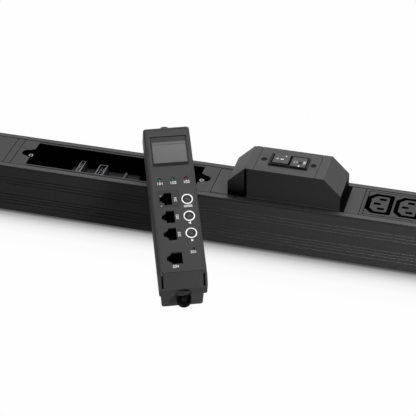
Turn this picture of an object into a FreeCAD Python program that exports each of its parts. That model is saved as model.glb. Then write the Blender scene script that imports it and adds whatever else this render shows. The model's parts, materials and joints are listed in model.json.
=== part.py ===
import FreeCAD, Part
import math
import os

# Rail: one aluminium extrusion, seen along X with the channel mouth up
railHeight = 47.2
lipWidth = 5.6
railEdge = 1.0
sideWall = 2.0
rearWall = 2.2
channelPlay = 0.8
ledgeReach = 2.0
ledgeThick = 1.8
landHalf = 7.0
landHeight = 5.0
bossReach = 5.6
bossHeight = 5.8
grooveDepth = 0.5
grooveWidth = 0.9
upperGrooves = (11.3, 14.5, 17.6)
lowerGrooves = (29.3, 32.4, 35.1, 38.6)

# Tapped holes along the rear land
mountCount = 4
mountPitch = 160.0
mountBore = 4.2

# Plates that lie between the lips
plateThick = 2.3
plateDrop = 0.15
plateFit = 0.35
seam = 0.4

# Lengths of the plates, from the left end of the rail
leftCoverLength = 78.1
stripLength = 6.9
middleCoverLength = 12.4

# Module bay: the module's rear tub goes in with play at each end
bayStart = 14.0
bayFinish = 14.4
bayPlay = 3.85
bayEdge = 1.0
notchHalf = 7.2
notchTip = 4.6
notchReach = 5.0
shelfDrop = 5.0
shelfThick = 1.8
shelfLip = 1.6
wellWall = 1.2
ribDrop = 2.2
ribWidth = 1.0
bossWall = 0.8
bossDrop = 2.4
nutInset = 1.65
nutRadius = 2.0
nutHeight = 3.6
nutProud = 0.2
nutBore = 1.25
frameLine = 1.3

# Connector carrier in the bay
carrierStart = 32.5
carrierLength = 62.5
carrierPlay = 2.4
carrierTop = 29.3
carrierThick = 2.6
carrierLeg = 2.4
shroudHeight = 8.4
shroudWall = 0.8
powerPlace = 43.1
powerWidth = 4.4
powerPinPitch = 1.8
powerPinRow = 0.8
powerMargin = 1.6
powerPinCount = 13
signalPlace = 62.7
signalWidth = 7.4
signalPinPitch = 2.54
signalPinRow = 1.27
signalMargin = 3.4
signalPinCount = 8
pinRadius = 0.4
pinHeight = 6.9
pinRoot = 1.0
dividerPlace = 85.0
dividerThick = 1.8
dividerReach = 19.5
dividerHeight = 8.4
carrierScrewPlaces = (3.6, 57.3)
carrierScrewLength = 8.0
sleeve = 0.6

# Breaker housing
humpStart = 15.4
humpLength = 97.3
humpFinish = 3.1
humpSide = 1.8
humpHeight = 28.5
humpChamfer = 14.9
humpWall = 2.0
humpRoof = 3.2
humpGroove = 1.7
humpGrooveDepth = 0.9
insertSeam = 0.35
insertStart = 22.0
insertLength = 53.0
insertThick = 1.6
insertLedge = 8.2
insertScrewInset = 5.2
insertScrewLength = 6.0

# Circuit breaker
bezelStart = 10.6
bezelLength = 33.0
bezelHalf = 8.2
bezelHeight = 1.8
caseInset = 1.1
caseLength = 31.5
caseHalf = 7.65
caseWall = 0.7
caseSideWall = 0.5
caseDepth = 31.0
caseFit = 0.15
rockerGap = 0.45
rockerSideGap = 0.35
rockerRaise = 1.0
rockerLess = 0.1
rockerBelow = 1.9
rockerStep = 1.8
wellDepth = 4.5
pivotDepth = 3.6
pivotRadius = 1.2
pivotFit = 0.06
terminalWidth = 5.0
terminalThick = 1.0
terminalLength = 8.0
terminalInset = 5.0

# Outlets, IEC 60320 sheet F
outletCount = 8
outletPitch = 24.0
firstOutlet = 16.5
lastOutlet = 24.1
outletOuterLength = 22.2
outletOuterHalf = 14.7
outletBlockLength = 14.8
outletBlockHalf = 11.4
outletShift = 1.9
outletBevel = 5.8
blockBevel = 4.4
outletRound = 2.2
grooveReach = 15.5
outletBodyHalf = 17.6
outletBodyWall = 1.2
outletBodyDepth = 21.0
outletLine = 3.0
lineWidth = 0.6
lineDepth = 0.7
pinSpread = 7.0
earthShift = 4.0
slotLength = 5.2
slotWidth = 2.5
leafThick = 0.5
leafGap = 1.5
leafLength = 4.0
leafTop = 8.0
leafRoom = 0.25
leafTail = 1.5
leafBase = 1.2
stemLength = 1.2

# Conductors on the rear land
trayEdge = 0.95
trayBase = 1.4
trayRib = 3.0
ribThick = 1.6
barHeight = 8.0
barThick = 1.5
barFit = 0.1
barMargin = 6.0
riserWidth = 5.0

# End caps and their screws
capThick = 3.0
capScrewLength = 12.0
screwShank = 1.5
screwBore = 1.6
headRadius = 2.7
headHeight = 1.7
crossReach = 1.3
crossWidth = 0.6
crossDepth = 0.9

# Power inlet, IEC 60320 C20
inletMouthHalf = 16.5
inletMouthRise = 11.5
inletWall = 1.6
inletDepth = 30.0
inletRecess = 24.0
inletFlangeFit = 0.5
inletFlangeRise = 8.4
inletFlangeThick = 2.6
bladeLength = 17.0
bladeWide = 8.0
bladeThick = 2.0
bladeSpread = 6.5
bladeRise = 4.0
bladeTail = 6.0
inletScrewEdge = 3.1
inletScrewLength = 7.0

# Control module, in its own axes: x across, y up its face, z out of its face
faceDraft = 0.1
flangeReach = 2.5
featureShift = 0.7
faceLineInset = 1.9
faceLineFoot = 0.7
faceLineWidth = 0.5
faceLineDepth = 0.4
faceLineCorner = 1.8
topFlare = 1.6
slopeRun = 9.7
slopeDrop = 9.7
flangeDepth = 20.3
tubDepth = 21.2
tubPlay = 0.3
tubSetback = 0.8
tubWall = 1.6
tubCorner = 2.0
shellWall = 1.8
shellCorner = 2.4
shellFootCorner = 1.5
shellEdge = 2.0
rimFit = 0.15
rimThick = 1.6
rimOverlap = 1.2
cheekGroove = 1.5
cheekDepth = 4.0
cheekInset = 1.9
cheekStop = 1.0

# Pose of the module, leant against the rail
leanYaw = 22.7
leanRise = 26.95
leanInset = 1.95
leanGap = 0.05

# Ears with captive screws
earRadius = 5.9
earReach = 5.5
earBottom = 2.0
earFloor = 1.4
earRim = 3.5
earRimWall = 0.8
pocketHalf = 6.3
pocketRise = 3.0
pocketPeak = 2.2
pocketHigh = 9.0
linerReach = 2.8
linerThick = 0.9
linerLower = 2.2
captiveHead = 2.2
captiveHeadHeight = 2.2
captiveShank = 1.2
captiveLength = 11.0

# Rows up the face, each from the row below
sensorRise = 13.5
linkRise = 22.0
serialRise = 15.9
networkRise = 16.7
lightRise = 18.4
displayRise = 12.5

# Display
displayHalf = 15.2
displayLength = 29.1
displayMargin = 8.8
displayGap = 0.3
displaySideGap = 0.75
displayDrop = 0.5
displayFlange = 1.4
frameThick = 2.2
glassHalf = 14.0
glassFoot = 3.8
glassHead = 5.2
glassGap = 0.1
panelDepth = 6.0

# Indicators
lightPitch = 11.0
lightBore = 1.65
lightRadius = 1.1
lightDrop = 0.7
lightFoot = 1.7
lightFootHeight = 5.0

# Keys
keyAcross = 10.57
keyBelowJack = 1.3
keyPitch = 15.75
keyBore = 3.1
keyRadius = 2.6
keyEdge = 0.4
keyDrop = 0.2
keyCollar = 3.7
keyCollarThick = 0.9
keyLift = 0.3
keyStem = 1.1
keyTravel = 0.5
ringInner = 3.75
ringOuter = 4.7
ringThick = 0.5
ringFit = 0.05
switchSide = 6.0
switchHeight = 3.6
plungerRadius = 1.6
plungerHeight = 0.9
resetAcross = 11.1
resetRise = 21.0
resetBore = 0.7

# Jacks: places up the face, mouth sizes and the steps of the latch
networkRight = -2.1
networkWidth = 6.4
jackRight = -1.4
jackHeight = 11.2
jackWidth = 6.8
sensorRight = 1.1
sensorHeight = 10.2
sensorWidth = 9.0
stepHeights = (6.6, 4.0)
stepWidths = (1.7, 1.9)
jackWall = 1.2
jackDepth = 13.5
collarRight = 4.1
collarLeft = -13.2
collarHalf = 7.6
collarThick = 2.0
collarFit = 0.15
contactWidth = 0.45
contactPitch = 1.02
contactCount = 8
sensorContacts = 6
contactThick = 0.3
contactRise = 5.0

# Circuit board
boardTop = 25.0
boardThick = 1.6
boardPlay = 0.3
boardInset = 4.0
postRadius = 2.2
postMargin = 2.8
postInset = 9.0
plugPlay = 0.4
plugReach = 7.2
recessMargin = 6.0
recessPlay = 0.5
recessDepth = 5.4
contactGap = 0.05

sensorJack = sensorRise
linkJack = sensorJack + linkRise
serialJack = linkJack + serialRise
networkJack = serialJack + networkRise
lightRow = networkJack + lightRise
displayLow = lightRow + displayRise
displayHigh = displayLow + displayLength
glassLow = displayLow + glassFoot
glassHigh = displayHigh - glassHead
faceLength = displayHigh + displayMargin
topEnd = faceLength + topFlare
tubY0 = -slopeRun + tubSetback
tubY1 = topEnd - tubSetback
moduleLow = flangeDepth + tubDepth

bayLength = tubY1 - tubY0 + 2 * bayPlay
frameLength = bayStart + bayLength + bayFinish
humpPlateLength = humpStart + humpLength + humpFinish
outletStripLength = firstOutlet + (outletCount - 1) * outletPitch + lastOutlet
railLength = leftCoverLength + stripLength + frameLength + humpPlateLength + middleCoverLength + outletStripLength
railLeft = -railLength / 2
railRight = railLength / 2
plateTop = railHeight - plateDrop
ledgeTop = plateTop - plateThick
ledgeLow = ledgeTop - ledgeThick
channelHalf = outletBodyHalf + channelPlay + ledgeReach
plateHalf = channelHalf - plateFit
railHalfWidth = channelHalf + lipWidth
innerHalf = railHalfWidth - sideWall
bayHalf = channelHalf - ledgeReach - bayEdge
carrierHalf = bayHalf - carrierPlay
powerHalf = carrierHalf - powerMargin
signalHalf = carrierHalf - signalMargin
humpHalf = channelHalf - humpSide
tubHalf = bayHalf - tubPlay
flangeHalf = tubHalf + flangeReach
faceHalf = flangeHalf - faceDraft
boardHalf = tubHalf - tubWall - boardPlay
postAcross = boardHalf - postMargin
trayHalf = pinSpread + barThick / 2 + barFit + ribThick + trayEdge
inletCentre = railHeight / 2
inletFlangeHalf = innerHalf - inletFlangeFit
inletScrewSpread = innerHalf - inletScrewEdge
stripX = railLeft + leftCoverLength
frameX = stripX + stripLength
humpPlateX = frameX + frameLength
middleX = humpPlateX + humpPlateLength
outletX = middleX + middleCoverLength
bayX = frameX + bayStart
bayEnd = bayX + bayLength
humpX = humpPlateX + humpStart
humpTop = railHeight + humpHeight
insertX = humpX + insertStart
insertEnd = insertX + insertLength
bezelX = insertX + bezelStart
bezelTop = humpTop + bezelHeight
outletLineX = outletX + firstOutlet
barLow = landHeight + trayBase + contactGap
barTop = barLow + barHeight


def box(x0, x1, y0, y1, z0, z1):
    return Part.makeBox(x1 - x0, y1 - y0, z1 - z0, FreeCAD.Vector(x0, y0, z0))


def rod(centre, direction, radius, length):
    return Part.makeCylinder(radius, length, FreeCAD.Vector(*centre), FreeCAD.Vector(*direction))


def prism(points, direction):
    corners = [FreeCAD.Vector(*p) for p in points]
    corners.append(corners[0])
    return Part.Face(Part.makePolygon(corners)).extrude(FreeCAD.Vector(*direction))


def joined(shapes):
    solid = shapes[0]
    for other in shapes[1:]:
        solid = solid.fuse(other)
    return solid.removeSplitter()


def cutAll(solid, tools):
    for tool in tools:
        solid = solid.cut(tool)
    return solid


def moved(shape, x, y, z):
    copy = shape.copy()
    copy.translate(FreeCAD.Vector(x, y, z))
    return copy


def insetPolygon(points, insets):
    """Convex polygon with each side moved inwards by its own amount."""
    count = len(points)
    area = sum(points[i][0] * points[(i + 1) % count][1] - points[(i + 1) % count][0] * points[i][1]
               for i in range(count))
    turn = 1.0 if area > 0 else -1.0
    lines = []
    for i in range(count):
        ax, ay = points[i]
        bx, by = points[(i + 1) % count]
        length = math.hypot(bx - ax, by - ay)
        dx, dy = (bx - ax) / length, (by - ay) / length
        nx, ny = -dy * turn, dx * turn
        lines.append((ax + nx * insets[i], ay + ny * insets[i], dx, dy))
    result = []
    for i in range(count):
        ax, ay, adx, ady = lines[i - 1]
        bx, by, bdx, bdy = lines[i]
        cross = adx * bdy - ady * bdx
        s = ((bx - ax) * bdy - (by - ay) * bdx) / cross
        result.append((ax + adx * s, ay + ady * s))
    return result


def filleted(solid, radius, picks):
    """Round the edges whose middle point is chosen by picks."""
    edges = []
    for edge in solid.Edges:
        middle = edge.valueAt((edge.FirstParameter + edge.LastParameter) / 2)
        start = edge.valueAt(edge.FirstParameter)
        end = edge.valueAt(edge.LastParameter)
        if picks(middle, end - start):
            edges.append(edge)
    return solid.makeFillet(radius, edges)


def crossScrew(headR, headH, shankR, length, countersunk):
    """Screw pointing down -Z, the top of its head at the origin."""
    if countersunk:
        head = Part.makeCone(shankR, headR, headH, FreeCAD.Vector(0, 0, -headH))
    else:
        head = rod((0, 0, -headH), (0, 0, 1), headR, headH)
    solid = head.fuse(rod((0, 0, -length), (0, 0, 1), shankR, length - headH + 0.01)).removeSplitter()
    reach = min(crossReach, headR * 0.6)
    slot = box(-reach, reach, -crossWidth / 2, crossWidth / 2, -crossDepth, 0.1)
    other = box(-crossWidth / 2, crossWidth / 2, -reach, reach, -crossDepth, 0.1)
    return cutAll(solid, (slot, other))


def turned(shape, direction, place):
    """Turn a shape built along +Z to a direction and move it to a place."""
    copy = shape.copy()
    rotation = FreeCAD.Rotation(FreeCAD.Vector(0, 0, 1), FreeCAD.Vector(*direction))
    copy.Placement = FreeCAD.Placement(FreeCAD.Vector(*place), rotation)
    return copy


parts = {}

# Rail section, right half from the rear middle round to the mouth
half = [
    (railHalfWidth - railEdge, 0.0),
    (railHalfWidth, railEdge),
    (railHalfWidth, railHeight - railEdge),
    (railHalfWidth - railEdge, railHeight),
    (channelHalf, railHeight),
    (channelHalf, ledgeTop),
    (channelHalf - ledgeReach, ledgeTop),
    (channelHalf - ledgeReach, ledgeLow),
    (innerHalf, ledgeLow),
    (innerHalf, rearWall),
    (landHalf, rearWall),
    (landHalf, landHeight),
]
section = half + [(-y, z) for y, z in reversed(half)]
rail = prism([(railLeft, y, z) for y, z in section], (railLength, 0, 0))
bossY = innerHalf - bossReach / 2
bossLow = rearWall + bossHeight / 2
bossHigh = ledgeLow - bossHeight / 2
bosses = []
for side in (-1, 1):
    y0, y1 = sorted((side * (innerHalf - bossReach), side * (innerHalf + sideWall / 2)))
    bosses.append(box(railLeft, railRight, y0, y1, rearWall / 2, rearWall + bossHeight))
    bosses.append(box(railLeft, railRight, y0, y1, ledgeLow - bossHeight, ledgeLow + ledgeThick / 2))
rail = joined([rail] + bosses)
cuts = []
for side in (-1, 1):
    for z in (bossLow, bossHigh):
        cuts.append(rod((railLeft - 1, side * bossY, z), (1, 0, 0), screwBore, railLength + 2))
    for drop in upperGrooves + lowerGrooves:
        z = railHeight - drop
        y0, y1 = sorted((side * (railHalfWidth - grooveDepth), side * (railHalfWidth + 1)))
        cuts.append(box(railLeft - 1, railRight + 1, y0, y1, z - grooveWidth / 2, z + grooveWidth / 2))
mountPlaces = [(i - (mountCount - 1) / 2) * mountPitch for i in range(mountCount)]
for x in mountPlaces:
    cuts.append(rod((x, 0, -1), (0, 0, 1), mountBore / 2, landHeight + 2))
parts["rail"] = cutAll(rail, cuts)


def plate(x0, x1):
    return box(x0 + seam / 2, x1 - seam / 2, -plateHalf, plateHalf, ledgeTop, plateTop)


parts["left_cover"] = plate(railLeft, stripX)
parts["divider_strip"] = plate(stripX, frameX)
parts["middle_cover"] = plate(middleX, outletX)


# Bay frame with a funnel notch and a sunk shelf at each end
def notch(edgeX, sign, widen, z0, z1):
    tipX = edgeX + sign * notchReach
    side = notchHalf + widen
    tip = notchTip + widen
    points = [(edgeX - sign * shelfLip, -side, z0), (edgeX - sign * shelfLip, side, z0), (edgeX, side, z0)]
    points += [(tipX, tip, z0), (tipX, -tip, z0), (edgeX, -side, z0)]
    funnel = prism(points, (0, 0, z1 - z0))
    return funnel.fuse(rod((tipX, 0, z0), (0, 0, 1), tip, z1 - z0))


frame = plate(frameX, humpPlateX)
shelfTop = plateTop - shelfDrop
shelfLow = shelfTop - shelfThick
wells = []
for edgeX, sign in ((bayX, -1), (bayEnd, 1)):
    wells.append(notch(edgeX, sign, wellWall, shelfLow, plateTop - plateThick / 2))
frame = joined([frame] + wells)
frame = frame.cut(box(bayX, bayEnd, -bayHalf, bayHalf, shelfTop, plateTop + 1))
frame = frame.cut(box(bayX + shelfLip, bayEnd - shelfLip, -bayHalf, bayHalf, shelfLow - 1, shelfTop + 1))
nuts = []
for edgeX, sign in ((bayX, -1), (bayEnd, 1)):
    frame = frame.cut(notch(edgeX, sign, 0.0, shelfTop, plateTop + 1))
    nutX = edgeX + sign * nutInset
    bossTop = plateTop - bossDrop
    ribX0, ribX1 = sorted((edgeX - sign * shelfLip, edgeX - sign * (shelfLip - ribWidth)))
    rib = box(ribX0, ribX1, -notchHalf - wellWall, notchHalf + wellWall, shelfLow, plateTop - ribDrop)
    boss = rod((nutX, 0, shelfLow), (0, 0, 1), nutRadius + bossWall, bossTop - shelfLow)
    frame = joined([frame, rib, boss])
    frame = frame.cut(rod((nutX, 0, shelfLow - 1), (0, 0, 1), nutRadius + 0.05, bossTop - shelfLow + 2))
    nut = rod((nutX, 0, bossTop + nutProud - nutHeight), (0, 0, 1), nutRadius, nutHeight)
    nuts.append(nut.cut(rod((nutX, 0, bossTop - nutHeight - 1), (0, 0, 1), nutBore, nutHeight + 2)))
for side in (-1, 1):
    y0, y1 = sorted((side * (bayHalf + frameLine), side * (bayHalf + frameLine + lineWidth)))
    frame = frame.cut(box(bayX, bayEnd, y0, y1, plateTop - lineDepth, plateTop + 1))
parts["bay_frame"] = frame
parts["bay_nuts"] = Part.makeCompound(nuts)

# Carrier: a bridge over the conductors that holds the two connectors
carrierX = bayX + carrierStart
carrierEnd = carrierX + carrierLength
carrier = box(carrierX, carrierEnd, -carrierHalf, carrierHalf, carrierTop - carrierThick, carrierTop)
legs = []
for side in (-1, 1):
    y0, y1 = sorted((side * carrierHalf, side * (carrierHalf - carrierLeg)))
    legs.append(box(carrierX, carrierEnd, y0, y1, rearWall + contactGap, carrierTop))
dividerX = bayX + dividerPlace
wallY = -carrierHalf
legs.append(box(dividerX, dividerX + dividerThick, wallY, wallY + dividerReach,
                carrierTop - 1, carrierTop + dividerHeight))
carrier = joined([carrier] + legs)
carrierScrews = []
for offset in carrierScrewPlaces:
    carrier = carrier.cut(rod((carrierX + offset, 0, carrierTop - carrierThick - 1), (0, 0, 1), screwBore, carrierThick + 2))
    screw = crossScrew(headRadius, headHeight, screwShank, carrierScrewLength, False)
    carrierScrews.append(moved(screw, carrierX + offset, 0, carrierTop + headHeight + contactGap))
parts["connector_carrier"] = carrier
parts["carrier_screws"] = Part.makeCompound(carrierScrews)


def shroud(centreX, width, halfY):
    low = carrierTop + contactGap
    outer = box(centreX - width / 2, centreX + width / 2, -halfY, halfY, low, carrierTop + shroudHeight)
    inner = box(centreX - width / 2 + shroudWall, centreX + width / 2 - shroudWall,
                -halfY + shroudWall, halfY - shroudWall, low + 1.5, carrierTop + shroudHeight + 1)
    return outer.cut(inner)


def pinField(centreX, rows, count, pitch):
    pins = []
    for row in rows:
        for i in range(count):
            y = (i - (count - 1) / 2) * pitch
            base = carrierTop + contactGap + pinRoot
            pins.append(rod((centreX + row, y, base), (0, 0, 1), pinRadius, pinHeight - pinRoot))
    return pins


powerX = bayX + powerPlace
signalX = bayX + signalPlace
powerField = pinField(powerX, (-powerPinRow, powerPinRow), powerPinCount, powerPinPitch)
signalField = pinField(signalX, (-signalPinRow, signalPinRow), signalPinCount, signalPinPitch)
powerShroud = shroud(powerX, powerWidth, powerHalf)
signalShroud = shroud(signalX, signalWidth, signalHalf)
parts["power_header"] = cutAll(powerShroud, powerField)
parts["signal_header"] = cutAll(signalShroud, signalField)
parts["header_pins"] = Part.makeCompound(powerField + signalField)

# Breaker housing: base plate and hollow hump in one moulding
humpEnd = humpX + humpLength
shoulder = humpTop - humpChamfer
outline = [
    (humpX, railHeight - 1.0),
    (humpEnd, railHeight - 1.0),
    (humpEnd, shoulder),
    (humpEnd - humpChamfer, humpTop),
    (humpX + humpChamfer, humpTop),
    (humpX, shoulder),
]
insets = (-plateThick - 3.0, humpWall, humpWall, humpRoof, humpWall, humpWall)
cavity = insetPolygon(outline, insets)
innerY = humpHalf - humpWall
hump = prism([(x, -humpHalf, z) for x, z in outline], (0, 2 * humpHalf, 0))
hump = joined([plate(humpPlateX, middleX), hump])
hump = hump.cut(prism([(x, -innerY, z) for x, z in cavity], (0, 2 * innerY, 0)))
hump = hump.cut(box(insertX, insertEnd, -humpHalf - 1, humpHalf + 1, humpTop - insertThick, humpTop + 1))
windowHalf = caseHalf + 3.0
hump = hump.cut(box(insertX + insertLedge, insertEnd - insertLedge, -windowHalf, windowHalf,
                    humpTop - humpRoof - 1, humpTop))
foldX = humpX + humpChamfer
for side in (-1, 1):
    y0, y1 = sorted((side * (humpHalf - humpGrooveDepth), side * (humpHalf + 1)))
    hump = hump.cut(box(foldX, foldX + humpGroove, y0, y1, railHeight + 0.5, humpTop + 1))
insertZ = humpTop - insertThick + contactGap
insert = box(insertX + insertSeam, insertEnd - insertSeam, -humpHalf, humpHalf, insertZ, humpTop)
caseX = bezelX + caseInset
caseEnd = caseX + caseLength
insert = insert.cut(box(caseX - caseFit, caseEnd + caseFit, -caseHalf - caseFit, caseHalf + caseFit,
                        humpTop - 5, humpTop + 1))
insertScrews = []
for x in (insertX + insertScrewInset, insertEnd - insertScrewInset):
    cone = Part.makeCone(screwBore, headRadius + 0.1, headHeight, FreeCAD.Vector(x, 0, humpTop - headHeight))
    hole = rod((x, 0, humpTop - humpRoof - 1), (0, 0, 1), screwBore, humpRoof + 2)
    insert = cutAll(insert, (cone, hole))
    hump = cutAll(hump, (cone, hole))
    screw = crossScrew(headRadius, headHeight, screwShank, insertScrewLength, True)
    insertScrews.append(moved(screw, x, 0, humpTop - 0.05))
parts["breaker_housing"] = hump
parts["breaker_plate"] = insert
parts["breaker_screws"] = Part.makeCompound(insertScrews)

# Circuit breaker: bezel and case, with the rocker on two stub trunnions
bezelEnd = bezelX + bezelLength
bezelLow = humpTop + contactGap
pivotX = (caseX + caseEnd) / 2
pivotZ = bezelTop - pivotDepth
wellReach = caseLength / 2 - caseWall
wellHalf = caseHalf - caseSideWall
wellFloor = pivotZ - wellDepth
bezel = box(bezelX, bezelEnd, -bezelHalf, bezelHalf, bezelLow, bezelTop)
case = box(caseX, caseEnd, -caseHalf, caseHalf, bezelTop - caseDepth, bezelLow + 0.5)
breaker = joined([bezel, case])
breaker = breaker.cut(box(pivotX - wellReach, pivotX + wellReach, -wellHalf, wellHalf, wellFloor, bezelTop + 1))
trunnionReach = wellHalf + caseSideWall * 0.6
trunnionHole = trunnionReach + pivotFit
breaker = breaker.cut(rod((pivotX, -trunnionHole, pivotZ), (0, 1, 0), pivotRadius + pivotFit, 2 * trunnionHole))
terminals = []
for x in (caseX + terminalInset, caseEnd - terminalInset):
    low = bezelTop - caseDepth - terminalLength
    terminals.append(box(x - terminalWidth / 2, x + terminalWidth / 2, -pinSpread - terminalThick / 2,
                         -pinSpread + terminalThick / 2, low, low + terminalLength + 2.0))
breaker = cutAll(breaker, terminals)
parts["circuit_breaker"] = breaker
parts["breaker_terminals"] = Part.makeCompound(terminals)

# Rocker: raised left half, a short ramp and the lower right half
rockerReach = wellReach - rockerGap
rockerHalf = wellHalf - rockerSideGap
rockerLow = pivotZ - rockerBelow
leftTop = bezelTop + rockerRaise
rightTop = bezelTop - rockerLess
stepFoot = pivotX + 1.2
profile = [
    (pivotX - rockerReach - 1, rockerLow),
    (pivotX + rockerReach + 1, rockerLow),
    (pivotX + rockerReach + 1, rightTop),
    (stepFoot + 0.4, rightTop),
    (stepFoot, rightTop - 0.6),
    (stepFoot - rockerStep, leftTop),
    (pivotX - rockerReach - 1, leftTop),
]
rocker = prism([(x, -rockerHalf, z) for x, z in profile], (0, 2 * rockerHalf, 0))
rocker = rocker.common(rod((pivotX, -rockerHalf - 1, pivotZ), (0, 1, 0), rockerReach, 2 * rockerHalf + 2))
relief = [
    (pivotX - rockerReach - 2, rockerLow - 1),
    (pivotX - 2.5, rockerLow - 1),
    (pivotX - 2.5, rockerLow),
    (pivotX - rockerReach - 2, pivotZ + 1.0),
]
rocker = rocker.cut(prism([(x, -rockerHalf - 1, z) for x, z in relief], (0, 2 * rockerHalf + 2, 0)))
trunnion = rod((pivotX, -trunnionReach, pivotZ), (0, 1, 0), pivotRadius, 2 * trunnionReach)
parts["breaker_rocker"] = joined([rocker, trunnion])


# Outlets: one long moulding
def outletShape(lengthX, halfY, bevel, centre, z0, z1):
    x0 = centre - lengthX / 2
    x1 = centre + lengthX / 2
    points = [(x0, -halfY + bevel), (x0 + bevel, -halfY), (x1, -halfY)]
    points += [(x1, halfY), (x0 + bevel, halfY), (x0, halfY - bevel)]
    solid = prism([(x, y, z0) for x, y in points], (0, 0, z1 - z0))
    return filleted(solid, outletRound, lambda m, d: abs(d.z) > 1 and m.x > x1 - 0.01)


strip = plate(outletX, railRight)
bodyLow = plateTop - outletBodyDepth
firstX = outletLineX - outletShift
bodyX0 = firstX - outletOuterLength / 2 - outletBodyWall
bodyX1 = firstX + (outletCount - 1) * outletPitch + outletOuterLength / 2 + outletBodyWall
strip = joined([strip, box(bodyX0, bodyX1, -outletBodyHalf, outletBodyHalf, bodyLow, ledgeTop + 0.5)])
ring = box(outletX + outletLine, railRight - outletLine, -plateHalf + outletLine - 0.6,
           plateHalf - outletLine + 0.6, plateTop - lineDepth, plateTop + 1)
ring = ring.cut(box(outletX + outletLine + lineWidth, railRight - outletLine - lineWidth,
                    -plateHalf + outletLine - 0.6 + lineWidth, plateHalf - outletLine + 0.6 - lineWidth,
                    plateTop - 5, plateTop + 5))
strip = strip.cut(ring)
barSides = {"line": -pinSpread, "earth": 0.0, "neutral": pinSpread}
tools = []
for i in range(outletCount):
    lineX = outletLineX + i * outletPitch
    centre = lineX - outletShift
    groove = outletShape(outletOuterLength, outletOuterHalf, outletBevel, centre, plateTop - grooveReach, plateTop + 1)
    block = outletShape(outletBlockLength, outletBlockHalf, blockBevel, centre, plateTop - grooveReach - 1, plateTop + 2)
    tools.append(groove.cut(block))
    for name, y in barSides.items():
        x = lineX - earthShift if name == "earth" else lineX
        tools.append(box(x - slotLength / 2, x + slotLength / 2, y - slotWidth / 2, y + slotWidth / 2,
                         bodyLow - 1, plateTop + 1))
        room = leafGap / 2 + leafThick + leafRoom
        tools.append(box(x - leafLength / 2 - leafRoom, x + leafLength / 2 + leafRoom, y - room, y + room,
                         bodyLow - 1, plateTop - leafTop + leafRoom))
parts["outlet_strip"] = cutAll(strip, tools)

# Conductors: standing strips with a rising fork at each outlet
inletBack = railLeft + inletDepth
barStart = inletBack + barMargin - bladeTail
barStop = railRight - barMargin


def bar(y, x0, x1):
    return box(x0, x1, y - barThick / 2, y + barThick / 2, barLow, barTop)


def fork(x, y):
    leafLow = bodyLow - leafTail
    half = leafGap / 2 + leafThick
    stem = box(x - stemLength / 2, x + stemLength / 2, y - barThick / 2, y + barThick / 2,
               barTop + contactGap, leafLow + leafBase / 2)
    leaves = box(x - leafLength / 2, x + leafLength / 2, y - half, y + half, leafLow, plateTop - leafTop)
    gap = box(x - leafLength, x + leafLength, y - leafGap / 2, y + leafGap / 2, leafLow + leafBase, plateTop)
    return stem.fuse(leaves.cut(gap)).removeSplitter()


def riser(y, x, high, width):
    return box(x, x + width, y - barThick / 2, y + barThick / 2, barTop - 1.0, high)


terminalLow = bezelTop - caseDepth - terminalLength
lineIn = caseX + terminalInset
lineOut = caseEnd - terminalInset
inletRise = inletCentre - bladeRise - bladeThick / 2 - contactGap
earthRise = inletCentre + bladeRise - bladeThick / 2 - contactGap
parts["line_feed_bar"] = joined([
    bar(-pinSpread, barStart, lineIn + terminalWidth / 2),
    riser(-pinSpread, barStart, inletRise, riserWidth),
    riser(-pinSpread, lineIn - terminalWidth / 2, terminalLow - contactGap, terminalWidth),
])
parts["line_bar"] = joined([
    bar(-pinSpread, lineOut - terminalWidth / 2, barStop),
    riser(-pinSpread, lineOut - terminalWidth / 2, terminalLow - contactGap, terminalWidth),
])
parts["neutral_bar"] = joined([
    bar(pinSpread, barStart, barStop),
    riser(pinSpread, barStart, inletRise, riserWidth),
])
parts["earth_bar"] = joined([
    bar(0.0, barStart, barStop),
    riser(0.0, barStart, earthRise, riserWidth),
])
forks = []
for i in range(outletCount):
    lineX = outletLineX + i * outletPitch
    forks.append(fork(lineX, -pinSpread))
    forks.append(fork(lineX, pinSpread))
    forks.append(fork(lineX - earthShift, 0.0))
parts["outlet_contacts"] = Part.makeCompound(forks)

# Insulating tray that holds the strips on the rear land
trayLow = landHeight + contactGap / 2
tray = box(barStart - 2, railRight - 2, -trayHalf, trayHalf, trayLow, landHeight + trayBase)
ribs = []
slot = barThick / 2 + barFit
for y in barSides.values():
    for side in (-1, 1):
        y0, y1 = sorted((y + side * slot, y + side * (slot + ribThick)))
        ribs.append(box(barStart - 2, railRight - 2, y0, y1, landHeight + 0.5, landHeight + trayBase + trayRib))
parts["bar_tray"] = joined([tray] + ribs)

# End caps with countersunk screws
capOutline = [
    (-railHalfWidth + railEdge, 0.0),
    (railHalfWidth - railEdge, 0.0),
    (railHalfWidth, railEdge),
    (railHalfWidth, railHeight - railEdge),
    (railHalfWidth - railEdge, railHeight),
    (-railHalfWidth + railEdge, railHeight),
    (-railHalfWidth, railHeight - railEdge),
    (-railHalfWidth, railEdge),
]
caps = {}
screws = []
for name, x0, outward in (("left_end_cap", railLeft - capThick, -1), ("right_end_cap", railRight, 1)):
    cap = prism([(x0, y, z) for y, z in capOutline], (capThick, 0, 0))
    faceX = x0 if outward < 0 else x0 + capThick
    for side in (-1, 1):
        for z in (bossLow, bossHigh):
            cone = turned(Part.makeCone(screwBore, headRadius + 0.1, headHeight, FreeCAD.Vector(0, 0, -headHeight)),
                          (outward, 0, 0), (faceX, side * bossY, z))
            cap = cap.cut(cone)
            cap = cap.cut(rod((x0 - 1, side * bossY, z), (1, 0, 0), screwBore, capThick + 2))
            screw = crossScrew(headRadius, headHeight, screwShank, capScrewLength, True)
            screws.append(turned(screw, (outward, 0, 0), (faceX - outward * 0.05, side * bossY, z)))
    caps[name] = cap

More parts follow.
